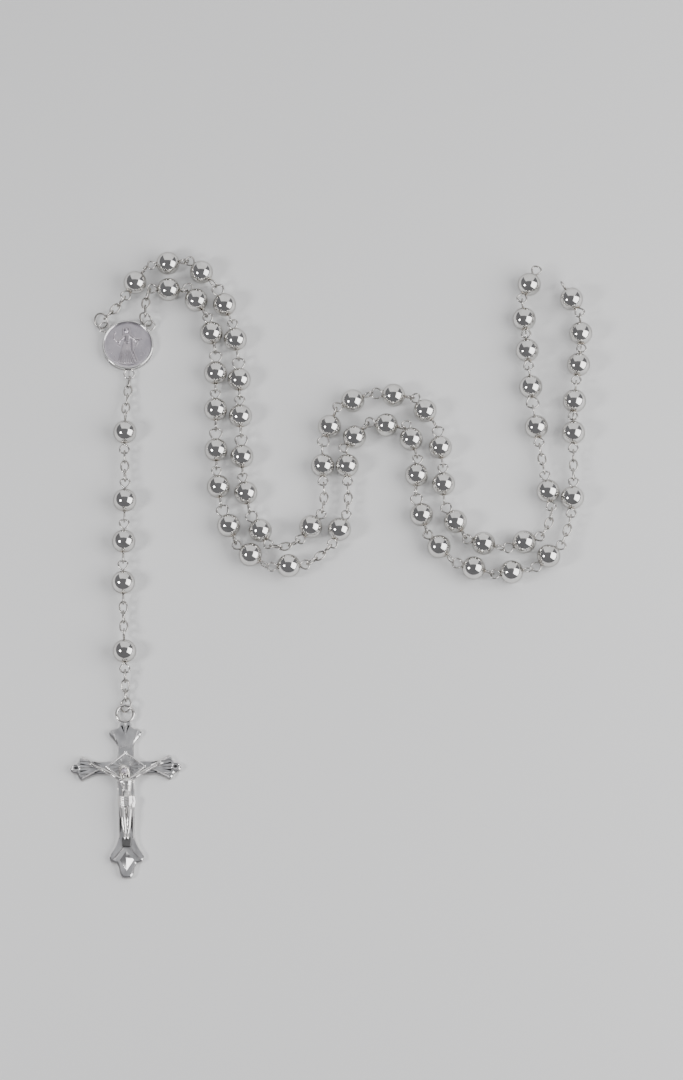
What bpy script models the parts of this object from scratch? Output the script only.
"""A five-decade rosary of silver-coloured metal, laid out flat on a table.

Run with: blender --background --python part.py

The frame is in metres with +Z up. The origin is the middle of the centre medal's flat back, which rests
on the table. The pendant with the crucifix runs towards -Y. The loop of five decades runs towards +X as
two strands that lie side by side and end next to each other, at the point where the loop is opened.

Every bead sits on a wire pin that is bent into an eye at each end. Neighbouring eyes and chain links hold
each other at right angles: one lies flat and the next stands upright. Along the loop, the wires of one
node are welded together where they touch; between nodes they hang in each other with a gap. Each object's
origin is on its hinge, and its custom property "hinge_axis" is the direction of the hinge.
"""

import math

import bmesh
import bpy
from mathutils import Matrix, Vector

MM = 0.001

# Beads and the wire that joins them
BEAD_RADIUS = 3.0 * MM
BEAD_SEGMENTS = 8
BEAD_RINGS = 6
BORE_RADIUS = 0.6 * MM
WIRE_RADIUS = 0.25 * MM
WIRE_SIDES = 3
LOOP_SEGMENTS = 8
EYE_RADIUS = 1.3 * MM
EYE_REACH = 4.3 * MM          # bead centre to eye centre, with the eye closed against the bead
PENDANT_EYE_REACH = 4.7 * MM  # the same on the pendant, where each bead is free to spin on its pin

# Chain links
LINK_HALF_LENGTH = 1.5 * MM
LINK_HALF_WIDTH = 1.05 * MM
LINK_HALF_STEP = 1.42 * MM    # link centre to the place where it is welded to the next link
LINK_HOLD = 1.0 * MM          # from a wire to the end of the link that is hooked round it
CHAIN_LINKS = 3
FIRST_CHAIN_LINKS = 4         # in the chain from the medal down to the pendant's first bead
CHAIN_DIP = 0.6 * MM
LINK_RISE = 0.2 * MM          # how much higher a link's end stands, so that its dip clears the flat wire

# How far the upright wire stands from the middle of the flat eye round it, against the route
EYE_SLACK = 0.1 * MM
CHAIN_SLACK = 0.3 * MM
PENDANT_SLACK = 0.4 * MM
TAUT = 1.1 * MM               # a weld: both eyes pulled apart until their wires run together
PUSHED = -1.3 * MM            # a weld: the eye pushed home against the next bead

# Centre medal
MEDAL_RADIUS = 6.65 * MM
MEDAL_FIELD = 1.5 * MM
MEDAL_RIM = 2.0 * MM
RIM_WIDTH = 0.7 * MM
MEDAL_SEGMENTS = 28
RELIEF_TOP = 1.85 * MM
LUG_RADIUS = 1.45 * MM
LUG_DISTANCE = 7.85 * MM
LUG_HEIGHT = 1.2 * MM
LEFT_LUG_ANGLE = 141
RIGHT_LUG_ANGLE = 44
BOTTOM_LUG_ANGLE = -86

# Jump rings: the heading is that of the axis that the ring leans about
JUMP_RING_RADIUS = 1.875 * MM
LEFT_RING_HEADING = -50
LEFT_RING_LEAN = 42
LEFT_RING_HOLD = 80           # angle round the ring, from that axis, where the chain hangs on it
RIGHT_RING_HEADING = -41
RIGHT_RING_LEAN = 65
RIGHT_RING_HOLD = 115
CRUCIFIX_RING_RADIUS = 1.75 * MM
CRUCIFIX_RING_HEADING = -90
CRUCIFIX_RING_LEAN = 45
RING_CLEARANCE = 0.05 * MM    # from the table to the lowest point of a leaning ring
LOW_CHAIN_HEIGHT = 1.35 * MM  # the middle of an upright link that rests on the table

# Crucifix, measured from the arm line
CROSS_THICKNESS = 1.6 * MM
CROSS_BEVEL = 0.3 * MM
CROSS_TURN = 1.0
PLATE_TOP = 1.9 * MM
BAIL_RISE = 14.3 * MM
BAIL_RADIUS = 2.0 * MM
BAIL_WIRE = 0.4 * MM
BAIL_HEIGHT = 1.35 * MM
BAIL_HOLD = 1.5 * MM          # from the crucifix ring to the bail wire that it holds

# Routes in plan, in millimetres, chosen by hand. A strand starts at its jump ring.
LEFT_ROUTE = (
    (-1.5, 11.4), (1.6, 17.8), (6.0, 22.0), (11.9, 23.5), (17.2, 22.0), (21.4, 18.6), (25.6, 9.6),
    (28.4, 0.4), (28.8, -9.5), (29.2, -19.5), (29.6, -29.4), (30.2, -39.8), (33.0, -50.6),
    (35.6, -54.2), (39.2, -55.8), (43.0, -54.8), (46.4, -51.8), (49.4, -48.4), (50.8, -44.4),
    (51.0, -40.6), (50.4, -36.0), (50.6, -25.9), (55.4, -16.2), (66.0, -13.4), (76.6, -16.4),
    (81.4, -27.4), (81.2, -38.3), (82.0, -45.2), (85.0, -51.0), (90.2, -54.8), (97.0, -56.0),
    (103.4, -54.6), (107.6, -51.6), (109.4, -47.6), (109.2, -43.6), (108.4, -39.9), (106.8, -30.5),
    (105.5, -22.0), (103.8, -10.6), (103.6, -1.0), (102.3, 7.9), (102.4, 14.0), (106.4, 21.0),
)
RIGHT_ROUTE = (
    (4.5, 11.4), (4.6, 13.6), (7.0, 15.7), (10.5, 16.0), (14.2, 15.4), (17.4, 12.8), (21.8, 4.4),
    (22.9, -5.3), (22.7, -15.8), (23.0, -26.7), (23.3, -37.9), (25.6, -48.9), (31.6, -59.2),
    (40.6, -61.4), (45.6, -60.6), (50.6, -57.2), (54.4, -52.8), (56.4, -47.8), (57.2, -42.6),
    (56.8, -37.0), (56.0, -31.4), (57.8, -24.4), (62.4, -21.6), (68.0, -21.1), (73.0, -23.8),
    (74.6, -28.4), (75.0, -34.2), (74.6, -44.9), (79.4, -55.4), (85.0, -60.2), (91.5, -62.4),
    (98.0, -62.8), (104.4, -61.6), (110.0, -57.8), (112.8, -52.8), (114.4, -46.8), (115.1, -37.9),
    (115.1, -20.8), (115.9, -10.9), (117.3, -1.3), (117.2, 7.8), (114.0, 14.8), (109.0, 20.0),
)
PENDANT_ROUTE = ((0.2, -12.4), (-0.3, -17.0), (-0.8, -23.0), (-0.4, -41.0), (-0.8, -64.0), (0.2, -99.0))

# How the two beads of each pair are welded, counted from the medal
FIRST_DECADE_LEFT = (TAUT, TAUT, TAUT, TAUT, TAUT)
FIRST_DECADE_RIGHT = (PUSHED, TAUT, TAUT, TAUT, TAUT)
SECOND_DECADE_LEFT = (TAUT, TAUT, TAUT, TAUT, TAUT)
SECOND_DECADE_RIGHT = (PUSHED, PUSHED, TAUT, TAUT, TAUT)
FAR_DECADE_LEFT = (TAUT, PUSHED)
FAR_DECADE_RIGHT = (PUSHED, PUSHED)

BRIGHT_SILVER = (0.86, 0.86, 0.88)
SATIN_SILVER = (0.70, 0.68, 0.72)
UP = Vector((0, 0, 1))


def in_mm(points):
    return [Vector((x * MM, y * MM)) for x, y in points]


def clear_scene():
    for obj in list(bpy.data.objects):
        bpy.data.objects.remove(obj)


# Shapes


def new_object(name, points, faces):
    mesh = bpy.data.meshes.new(name)
    mesh.from_pydata([tuple(p) for p in points], [], faces)
    obj = bpy.data.objects.new(name, mesh)
    bpy.context.scene.collection.objects.link(obj)
    return obj


def frame_at(centre, along, across):
    """A matrix at centre with X along, Y across (made square to X) and Z square to both."""
    x = along.normalized()
    z = x.cross(across).normalized()
    matrix = Matrix((x, z.cross(x), z)).transposed().to_4x4()
    matrix.translation = centre
    return matrix


def wire_loop(matrix, half_length, half_width, wire=WIRE_RADIUS):
    """A closed oval of wire in the XY plane of matrix."""
    points = []
    faces = []
    for i in range(LOOP_SEGMENTS):
        angle = math.tau * i / LOOP_SEGMENTS
        middle = Vector((half_length * math.cos(angle), half_width * math.sin(angle), 0))
        outward = Vector((half_width * math.cos(angle), half_length * math.sin(angle), 0)).normalized()
        here = i * WIRE_SIDES
        there = (i + 1) % LOOP_SEGMENTS * WIRE_SIDES
        for j in range(WIRE_SIDES):
            turn = math.tau * j / WIRE_SIDES
            points.append(matrix @ (middle + wire * (outward * math.cos(turn) + UP * math.sin(turn))))
            k = (j + 1) % WIRE_SIDES
            faces.append((here + j, there + j, there + k, here + k))
    return new_object("loop", points, faces)


def turned(matrix, profile, segments, closed=False):
    """A solid of revolution about the X axis of matrix, from (along, radius) points.

    An open profile starts and ends on the axis, and a closed one goes round a ring's section.
    """
    points = []
    rings = []
    for along, radius in profile:
        first = len(points)
        if radius == 0:
            points.append(matrix @ Vector((along, 0, 0)))
            rings.append([first] * segments)
            continue
        for i in range(segments):
            angle = math.tau * i / segments
            points.append(matrix @ Vector((along, radius * math.cos(angle), radius * math.sin(angle))))
        rings.append(list(range(first, first + segments)))
    pairs = list(zip(rings, rings[1:]))
    if closed:
        pairs.append((rings[-1], rings[0]))
    faces = []
    for low, high in pairs:
        for i in range(segments):
            k = (i + 1) % segments
            faces.append(tuple(dict.fromkeys((low[i], low[k], high[k], high[i]))))
    return new_object("turned", points, faces)


def ball(centre, along, radii, segments=BEAD_SEGMENTS, rings=BEAD_RINGS):
    """An ellipsoid with its poles on the line along; radii are along, sideways and upward."""
    matrix = frame_at(centre, along, UP.cross(along)) @ Matrix.Diagonal((*radii, 1))
    profile = [(-1, 0)]
    for i in range(1, rings):
        angle = math.pi * i / rings
        profile.append((-math.cos(angle), math.sin(angle)))
    profile.append((1, 0))
    return turned(matrix, profile, segments)


def rod(start, end, start_radius, end_radius, sides=6):
    """A straight tapered rod with flat ends, not upright."""
    length = (end - start).length
    profile = ((0, 0), (0, start_radius), (length, end_radius), (length, 0))
    return turned(frame_at(start, end - start, UP), profile, sides)


def plate(outline, bottom, top, bevel=0.0):
    """A level plate with the given plan outline, and a bevel round its upper edge."""
    bm = bmesh.new()
    lid = bm.faces.new([bm.verts.new((x, y, bottom)) for x, y in outline])
    extruded = bmesh.ops.extrude_face_region(bm, geom=[lid], use_keep_orig=True)["geom"]
    lid = next(item for item in extruded if isinstance(item, bmesh.types.BMFace))
    bmesh.ops.translate(bm, verts=lid.verts, vec=(0, 0, top - bevel - bottom))
    if bevel:
        bmesh.ops.inset_region(bm, faces=[lid], thickness=bevel, use_even_offset=True)
        bmesh.ops.translate(bm, verts=lid.verts, vec=(0, 0, bevel))
    bmesh.ops.recalc_face_normals(bm, faces=bm.faces)
    mesh = bpy.data.meshes.new("plate")
    bm.to_mesh(mesh)
    bm.free()
    obj = bpy.data.objects.new("plate", mesh)
    bpy.context.scene.collection.objects.link(obj)
    return obj


def mirrored(half):
    """A closed outline from the points of its right half, listed from top to bottom."""
    return list(half) + [(-x, y) for x, y in reversed(half)]


def welded(name, shapes):
    """One closed mesh from overlapping shapes, which are used up."""
    body = shapes[0]
    others = bpy.data.collections.new(name + "_shapes")
    if len(shapes) > 1:
        for shape in shapes[1:]:
            others.objects.link(shape)
        union = body.modifiers.new("weld", "BOOLEAN")
        union.operation = "UNION"
        union.operand_type = "COLLECTION"
        union.collection = others
    graph = bpy.context.evaluated_depsgraph_get()
    mesh = bpy.data.meshes.new_from_object(body.evaluated_get(graph))
    mesh.name = name
    for shape in shapes:
        bpy.data.objects.remove(shape)
    bpy.data.collections.remove(others)
    return mesh


# Nodes


def silver(name, colour, roughness):
    material = bpy.data.materials.new(name + "_metal")
    material.use_nodes = True
    shader = material.node_tree.nodes["Principled BSDF"]
    shader.inputs["Base Color"].default_value = (*colour, 1)
    shader.inputs["Metallic"].default_value = 1.0
    shader.inputs["Roughness"].default_value = roughness
    return material


def add_node(name, shapes, parent, pivot, axis, colour=BRIGHT_SILVER, roughness=0.08):
    """One named object welded from shapes, with its origin at pivot, hanging from parent."""
    mesh = welded(name, shapes)
    mesh.transform(Matrix.Translation(-pivot))
    mesh.shade_smooth()
    mesh.set_sharp_from_angle(angle=math.radians(50))
    mesh.materials.clear()
    mesh.materials.append(silver(name, colour, roughness))
    obj = bpy.data.objects.new(name, mesh)
    bpy.context.scene.collection.objects.link(obj)
    obj.location = pivot
    if parent:
        obj.parent = parent
        obj.matrix_parent_inverse = Matrix.Translation(-parent.location)
        obj["hinge_axis"] = tuple(axis)
    return obj


# The way along a strand


class Strand:
    """Lays pieces one after another along a route, each hooked into the one before.

    knot is where the next piece's first wire crosses the last piece's, seen in plan. upright says
    whether the last piece ends in an upright loop or a flat one, heading is the way that loop points,
    and flat_centre and flat_radius describe it where it lies flat.
    """

    def __init__(self, parent, knot, route, upright=False, flat_centre=None, flat_radius=EYE_RADIUS):
        self.parent = parent
        self.knot = knot
        self.heading = UP
        self.upright = upright
        self.flat_centre = flat_centre
        self.flat_radius = flat_radius
        self.path = smooth_path([knot.to_2d()] + in_mm(route))
        self.passed = 0

    def step(self, length, height):
        """Moves the knot on by length, measured straight, to the given height on the route."""
        level = math.sqrt(length ** 2 - (height - self.knot.z) ** 2)
        start = self.knot.to_2d()
        while self.passed < len(self.path) - 1 and (self.path[self.passed] - start).length < level:
            self.passed += 1
        ahead = start + (self.path[self.passed] - start).normalized() * level
        heading = Vector((ahead.x, ahead.y, height)) - self.knot
        self.knot = self.knot + heading
        return heading.normalized()

    def hinge(self, knot, heading, flat_centre, flat_radius):
        """Pivot and axis of the hinge that lifts the next piece out of the plane.

        It is the flat loop's wire, where that wire runs through the upright loop.
        """
        if self.upright:
            along = -self.heading
        else:
            along = heading
            flat_centre, flat_radius = self.flat_centre, self.flat_radius
        pivot = crossing(knot, along, flat_centre, flat_radius)
        axis = along.cross(UP).normalized()
        return pivot, axis if along is heading else -axis

    def end_piece(self, obj, heading, upright, flat_centre, flat_radius):
        self.parent = obj
        self.heading = heading
        self.upright = upright
        self.flat_centre = flat_centre
        self.flat_radius = flat_radius


def smooth_path(points, samples=24):
    """A smooth curve through the points, as short straight steps (Catmull-Rom)."""
    padded = [2 * points[0] - points[1], *points, 2 * points[-1] - points[-2]]
    path = []
    for before, start, end, after in zip(padded, padded[1:], padded[2:], padded[3:]):
        for i in range(samples):
            t = i / samples
            path.append(0.5 * (2 * start + (end - before) * t
                               + (2 * before - 5 * start + 4 * end - after) * t ** 2
                               + (3 * start - before - 3 * end + after) * t ** 3))
    path.append(points[-1])
    return path


def crossing(knot, along, centre, radius):
    """Where a line from knot, which is inside a level ring, meets that ring, at the ring's height."""
    way = along.to_2d().normalized()
    offset = (knot - centre).to_2d()
    inward = offset.dot(way)
    reach = -inward + math.sqrt(inward ** 2 - offset.length_squared + radius ** 2)
    place = knot.to_2d() + way * reach
    return Vector((place.x, place.y, centre.z))


def eye(centre, heading, upright):
    across = UP if upright else UP.cross(heading)
    return wire_loop(frame_at(centre, heading, across), EYE_RADIUS, EYE_RADIUS)


def link(centre, heading, upright):
    across = UP if upright else UP.cross(heading)
    return wire_loop(frame_at(centre, heading, across), LINK_HALF_LENGTH, LINK_HALF_WIDTH)


def add_chain(strand, name, links=CHAIN_LINKS, end_height=BEAD_RADIUS):
    """A short run of links welded to each other, which dips towards the table between its ends."""
    upright = not strand.upright
    if upright:
        strand.knot.z += LINK_RISE
    start_height = strand.knot.z
    shapes = []
    for i in range(links):
        first, last = i == 0, i == links - 1
        near = LINK_HALF_STEP
        far = LINK_HALF_STEP
        if first:
            near = LINK_HALF_LENGTH if upright else LINK_HALF_LENGTH - LINK_HOLD
        if last:
            far = LINK_HALF_LENGTH if upright else LINK_HALF_LENGTH - LINK_HOLD
        level = start_height + (end_height - start_height) * (i + 1) / links
        height = end_height + (LINK_RISE if upright else 0)
        if not last:
            height = max(level - CHAIN_DIP, LOW_CHAIN_HEIGHT)
        knot = strand.knot
        heading = strand.step(near + far, height)
        centre = knot + near * heading
        shapes.append(link(centre, heading, upright))
        if first:
            pivot, axis = strand.hinge(knot, heading, centre, LINK_HALF_LENGTH)
        upright = not upright
    obj = add_node(name, shapes, strand.parent, pivot, axis)
    strand.end_piece(obj, heading, not upright, centre, LINK_HALF_LENGTH)
    return obj


def add_beads(strand, name, slacks, ends_upright=True):
    """One bead, or several welded in a row, each with a flat eye first and an upright eye after it."""
    shapes = []
    for i, slack in enumerate(slacks):
        upright = ends_upright or i < len(slacks) - 1
        near = EYE_REACH + slack
        far = EYE_REACH + (EYE_RADIUS if upright else CHAIN_SLACK)
        strand.knot.z = BEAD_RADIUS
        knot = strand.knot
        heading = strand.step(near + far, BEAD_RADIUS)
        centre = knot + near * heading
        first_eye = centre - EYE_REACH * heading
        last_eye = centre + EYE_REACH * heading
        shapes.append(ball(centre, heading, [BEAD_RADIUS] * 3))
        shapes.append(eye(first_eye, heading, upright=False))
        shapes.append(eye(last_eye, heading, upright))
        if i == 0:
            pivot, axis = strand.hinge(knot, heading, first_eye, EYE_RADIUS)
    obj = add_node(name, shapes, strand.parent, pivot, axis)
    strand.end_piece(obj, heading, upright, last_eye, EYE_RADIUS)
    return obj


def add_pin_and_bead(strand, number, slack, starts_upright, ends_upright):
    """A wire pin with its two eyes, and the bored bead that spins on it."""
    near = PENDANT_EYE_REACH + (EYE_RADIUS if starts_upright else slack)
    far = PENDANT_EYE_REACH + (EYE_RADIUS if ends_upright else CHAIN_SLACK)
    strand.knot.z = BEAD_RADIUS
    knot = strand.knot
    heading = strand.step(near + far, BEAD_RADIUS)
    centre = knot + near * heading
    first_eye = centre - PENDANT_EYE_REACH * heading
    last_eye = centre + PENDANT_EYE_REACH * heading
    shaft = (PENDANT_EYE_REACH - EYE_RADIUS) * heading
    shapes = [
        rod(centre - shaft, centre + shaft, WIRE_RADIUS, WIRE_RADIUS),
        eye(first_eye, heading, starts_upright),
        eye(last_eye, heading, ends_upright),
    ]
    pivot, axis = strand.hinge(knot, heading, first_eye, EYE_RADIUS)
    pin = add_node(f"pendant_pin_{number}", shapes, strand.parent, pivot, axis)
    bead = bored_bead(centre, heading)
    add_node(f"pendant_bead_{number}", [bead], pin, centre, heading)
    strand.end_piece(pin, heading, ends_upright, last_eye, EYE_RADIUS)


def bored_bead(centre, heading):
    mouth = math.asin(BORE_RADIUS / BEAD_RADIUS)
    profile = []
    for i in range(BEAD_RINGS + 1):
        angle = mouth + (math.pi - 2 * mouth) * i / BEAD_RINGS
        profile.append((-BEAD_RADIUS * math.cos(angle), BEAD_RADIUS * math.sin(angle)))
    return turned(frame_at(centre, heading, UP), profile, BEAD_SEGMENTS, closed=True)


# The pieces in order


def on_circle(radius, degrees, height):
    angle = math.radians(degrees)
    return Vector((radius * math.cos(angle), radius * math.sin(angle), height))


def add_medal():
    """A round medal with a raised rim, a robed figure in low relief and three lugs."""
    inner = MEDAL_RADIUS - RIM_WIDTH
    profile = (
        (0, 0), (0, MEDAL_RADIUS - 0.3 * MM), (0.3 * MM, MEDAL_RADIUS), (MEDAL_RIM - 0.3 * MM, MEDAL_RADIUS),
        (MEDAL_RIM, MEDAL_RADIUS - 0.3 * MM), (MEDAL_RIM - 0.1 * MM, inner), (MEDAL_FIELD, inner - 0.3 * MM),
        (MEDAL_FIELD, 0),
    )
    robe = in_mm(mirrored(((0.5, 2.6), (1.2, 2.2), (2.4, 0.2), (1.5, 0.1), (1.3, -2.6), (1.7, -4.2))))
    ground = in_mm(mirrored(((3.6, -3.9), (2.6, -4.8))))
    shapes = [
        turned(frame_at(Vector(), UP, Vector((1, 0, 0))), profile, MEDAL_SEGMENTS),
        plate(robe, MEDAL_FIELD - 0.3 * MM, RELIEF_TOP),
        plate(ground, MEDAL_FIELD - 0.2 * MM, MEDAL_FIELD + 0.2 * MM),
        ball(Vector((0, 3.3, 1.45)) * MM, Vector((0, 1, 0)), (0.9 * MM, 0.65 * MM, 0.5 * MM), 8, 4),
    ]
    for degrees in (LEFT_LUG_ANGLE, RIGHT_LUG_ANGLE, BOTTOM_LUG_ANGLE):
        centre = on_circle(LUG_DISTANCE, degrees, LUG_HEIGHT)
        shapes.append(wire_loop(frame_at(centre, centre.to_2d().to_3d(), UP.cross(centre)),
                                LUG_RADIUS, LUG_RADIUS))
    return add_node("centre_medal", shapes, None, Vector(), UP, SATIN_SILVER, 0.3)


def leaning_ring(hole, radius, heading, lean):
    """The frame of a ring that leans on the table and runs through hole.

    The ring lies in the XY plane of the frame. Its X axis is level and points along heading, and the
    lowest point is on its -Y side.
    """
    centre_height = WIRE_RADIUS + RING_CLEARANCE + radius * math.sin(math.radians(lean))
    drop = (centre_height - hole.z) / (radius * math.sin(math.radians(lean)))
    angle = math.acos(drop) - math.pi / 2
    turn = Matrix.Rotation(math.radians(heading), 4, "Z") @ Matrix.Rotation(math.radians(lean), 4, "X")
    reach = turn @ Vector((radius * math.cos(angle), radius * math.sin(angle), 0))
    return Matrix.Translation(hole - reach) @ turn


def ring_point(frame, radius, angle):
    return frame @ Vector((radius * math.cos(angle), radius * math.sin(angle), 0))


def add_jump_ring(name, medal, lug_angle, heading, lean):
    """A ring through one of the medal's lugs, hinged on the lug's outer wire."""
    hole = on_circle(LUG_DISTANCE, lug_angle, LUG_HEIGHT)
    frame = leaning_ring(hole, JUMP_RING_RADIUS, heading, lean)
    shape = wire_loop(frame, JUMP_RING_RADIUS, JUMP_RING_RADIUS)
    pivot = on_circle(LUG_DISTANCE + LUG_RADIUS, lug_angle, LUG_HEIGHT)
    ring = add_node(name, [shape], medal, pivot, pivot.cross(UP).normalized())
    return ring, frame


def strand_from_ring(ring, frame, hold_angle, route):
    """A strand whose first link is hooked round the ring's wire."""
    wire = ring_point(frame, JUMP_RING_RADIUS, math.radians(hold_angle))
    way = (in_mm(route)[0] - wire.to_2d()).normalized().to_3d()
    strand = Strand(ring, wire - LINK_HOLD * way, route)
    strand.flat_centre = wire - JUMP_RING_RADIUS * way
    strand.flat_radius = JUMP_RING_RADIUS
    return strand


def add_decade(strand, side, decade, first_bead, count_step, pair_welds, last_single=False):
    """A run of beads in welded pairs, named with the numbers that the beads have in their decade."""
    number = first_bead
    for i, weld in enumerate(pair_welds):
        slack = CHAIN_SLACK if i == 0 else EYE_SLACK
        low, high = sorted((number, number + count_step))
        last = i == len(pair_welds) - 1 and not last_single
        add_beads(strand, f"decade_{decade}_beads_{low}_{high}", (slack, weld), ends_upright=not last)
        number += 2 * count_step
    if last_single:
        add_beads(strand, f"decade_{decade}_bead_{number}", (EYE_SLACK,), ends_upright=side == "right")


def add_loop_strand(strand, side, decades, count_step, *decade_welds):
    """Half of the loop: two decades, two large beads and half of the far decade, with their chains."""
    first_bead = 1 if count_step > 0 else 10
    *near_welds, far_welds = decade_welds
    for number, (decade, welds) in enumerate(zip(decades, near_welds), 1):
        add_chain(strand, f"{side}_chain_{2 * number - 1}")
        add_decade(strand, side, decade, first_bead, count_step, welds)
        add_chain(strand, f"{side}_chain_{2 * number}")
        add_beads(strand, f"{side}_our_father_{number}", (CHAIN_SLACK,), ends_upright=False)
    add_chain(strand, f"{side}_chain_5")
    add_decade(strand, side, 3, first_bead, count_step, far_welds, last_single=True)


def add_pendant(medal):
    """The chain, five beads and crucifix that hang from the medal."""
    lug = on_circle(LUG_DISTANCE, BOTTOM_LUG_ANGLE, LUG_HEIGHT)
    knot = lug + Vector((0, -CHAIN_SLACK, LOW_CHAIN_HEIGHT - LUG_HEIGHT))
    strand = Strand(medal, knot, PENDANT_ROUTE, flat_centre=lug, flat_radius=LUG_RADIUS)
    add_chain(strand, "pendant_chain_1", FIRST_CHAIN_LINKS)
    add_pin_and_bead(strand, 1, CHAIN_SLACK, starts_upright=True, ends_upright=False)
    add_chain(strand, "pendant_chain_2")
    add_pin_and_bead(strand, 2, CHAIN_SLACK, starts_upright=False, ends_upright=True)
    add_pin_and_bead(strand, 3, PENDANT_SLACK, starts_upright=False, ends_upright=True)
    add_pin_and_bead(strand, 4, PENDANT_SLACK, starts_upright=False, ends_upright=True)
    add_chain(strand, "pendant_chain_3")
    add_pin_and_bead(strand, 5, CHAIN_SLACK, starts_upright=True, ends_upright=False)
    add_chain(strand, "pendant_chain_4", end_height=LOW_CHAIN_HEIGHT)
    add_crucifix_and_ring(strand)


def add_crucifix_and_ring(strand):
    """The ring on the last link, and the crucifix whose cast bail hangs on that ring."""
    lean = math.radians(CRUCIFIX_RING_LEAN)
    low_side = Vector((-1, 0, 0))
    centre_height = WIRE_RADIUS + RING_CLEARANCE + CRUCIFIX_RING_RADIUS * math.sin(lean)
    drop = (centre_height - BAIL_HEIGHT) / math.sin(lean)
    sideways = low_side * drop * math.cos(lean)
    onward = math.sqrt(CRUCIFIX_RING_RADIUS ** 2 - drop ** 2)
    ring_centre = strand.knot + Vector((0, LINK_HOLD - CRUCIFIX_RING_RADIUS, 0))
    hole = Vector((ring_centre.x, ring_centre.y - onward, BAIL_HEIGHT)) + sideways
    frame = leaning_ring(hole, CRUCIFIX_RING_RADIUS, CRUCIFIX_RING_HEADING, CRUCIFIX_RING_LEAN)
    shape = wire_loop(frame, CRUCIFIX_RING_RADIUS, CRUCIFIX_RING_RADIUS)
    pivot = Vector((ring_centre.x, ring_centre.y + CRUCIFIX_RING_RADIUS, centre_height))
    ring = add_node("crucifix_ring", [shape], strand.parent, pivot, Vector((-1, 0, 0)))

    bail_wire = hole + Vector((0, BAIL_HOLD, 0))
    bail = bail_wire - Vector((0, BAIL_RADIUS, 0))
    place = Matrix.Translation(bail.to_2d().to_3d()) @ Matrix.Rotation(math.radians(CROSS_TURN), 4, "Z")
    place = place @ Matrix.Translation((0, -BAIL_RISE, 0))
    shapes = crucifix_shapes()
    for shape in shapes:
        shape.data.transform(place)
    add_node("crucifix", shapes, ring, bail_wire, Vector((-1, 0, 0)), roughness=0.15)


def crucifix_shapes():
    """The crucifix about the middle of its arm line, with its back on z = 0 and its head towards +Y."""
    outline = in_mm(mirrored((
        (1.4, 12.4), (1.8, 10.6), (4.1, 9.5), (3.6, 8.3), (2.5, 7.2), (2.15, 6.0), (2.15, 1.75), (9.0, 1.6),
        (10.8, 2.5), (11.9, 3.1), (12.7, 1.9), (14.0, 1.0), (14.0, -1.0), (12.7, -1.9), (11.9, -3.1),
        (10.8, -2.5), (9.0, -1.6), (2.15, -1.75), (2.1, -18.5), (2.8, -20.8), (4.3, -23.4), (4.1, -25.0),
        (2.5, -25.2), (1.9, -27.5), (1.3, -29.3),
    )))
    sunburst = in_mm(mirrored(((0.3, 4.0), (5.3, -0.1), (0.3, -4.8))))
    foot_rest = in_mm(mirrored(((0.95, -18.9), (0.95, -21.1))))
    boss = in_mm(mirrored(((0.25, -21.9), (1.8, -24.4), (0.25, -27.7))))

    def at(x, y, z):
        return Vector((x, y, z)) * MM

    down = Vector((0, -1, 0))
    shapes = [
        plate(outline, 0, CROSS_THICKNESS, CROSS_BEVEL),
        plate(sunburst, 0.8 * MM, PLATE_TOP, 0.2 * MM),
        plate(foot_rest, 0.8 * MM, 2.4 * MM),
        plate(boss, 0.8 * MM, 2.1 * MM, 0.2 * MM),
        wire_loop(frame_at(Vector((0, BAIL_RISE, BAIL_HEIGHT)), down, Vector((1, 0, 0))), BAIL_RADIUS, BAIL_RADIUS,
                  BAIL_WIRE),
        ball(at(0, -1.3, 2.5), down, (1.1 * MM, 0.85 * MM, 0.95 * MM), 8, 6),
        ball(at(0, -4.9, 2.1), down, (2.7 * MM, 1.35 * MM, 0.9 * MM), 8, 6),
        ball(at(0, -8.9, 2.0), down, (1.9 * MM, 1.75 * MM, 0.95 * MM), 8, 6),
    ]
    for side in (-1, 1):
        shapes.append(rod(at(side * 0.9, -3.4, 2.1), at(side * 8.6, 0.2, 1.8), 0.6 * MM, 0.4 * MM))
        shapes.append(rod(at(side * 0.75, -9.0, 2.1), at(side * 0.4, -18.4, 2.0), 0.75 * MM, 0.45 * MM))
        shapes.append(ball(at(side * 0.45, -18.9, 2.3), down, (0.9 * MM, 0.45 * MM, 0.5 * MM), 6, 4))
    return shapes


def main():
    clear_scene()
    medal = add_medal()
    ring, frame = add_jump_ring("left_jump_ring", medal, LEFT_LUG_ANGLE, LEFT_RING_HEADING, LEFT_RING_LEAN)
    left = strand_from_ring(ring, frame, LEFT_RING_HOLD, LEFT_ROUTE)
    add_loop_strand(left, "left", (1, 2), 1, FIRST_DECADE_LEFT, SECOND_DECADE_LEFT, FAR_DECADE_LEFT)
    ring, frame = add_jump_ring("right_jump_ring", medal, RIGHT_LUG_ANGLE, RIGHT_RING_HEADING,
                                RIGHT_RING_LEAN)
    right = strand_from_ring(ring, frame, RIGHT_RING_HOLD, RIGHT_ROUTE)
    add_loop_strand(right, "right", (5, 4), -1, FIRST_DECADE_RIGHT, SECOND_DECADE_RIGHT, FAR_DECADE_RIGHT)
    add_pendant(medal)


main()
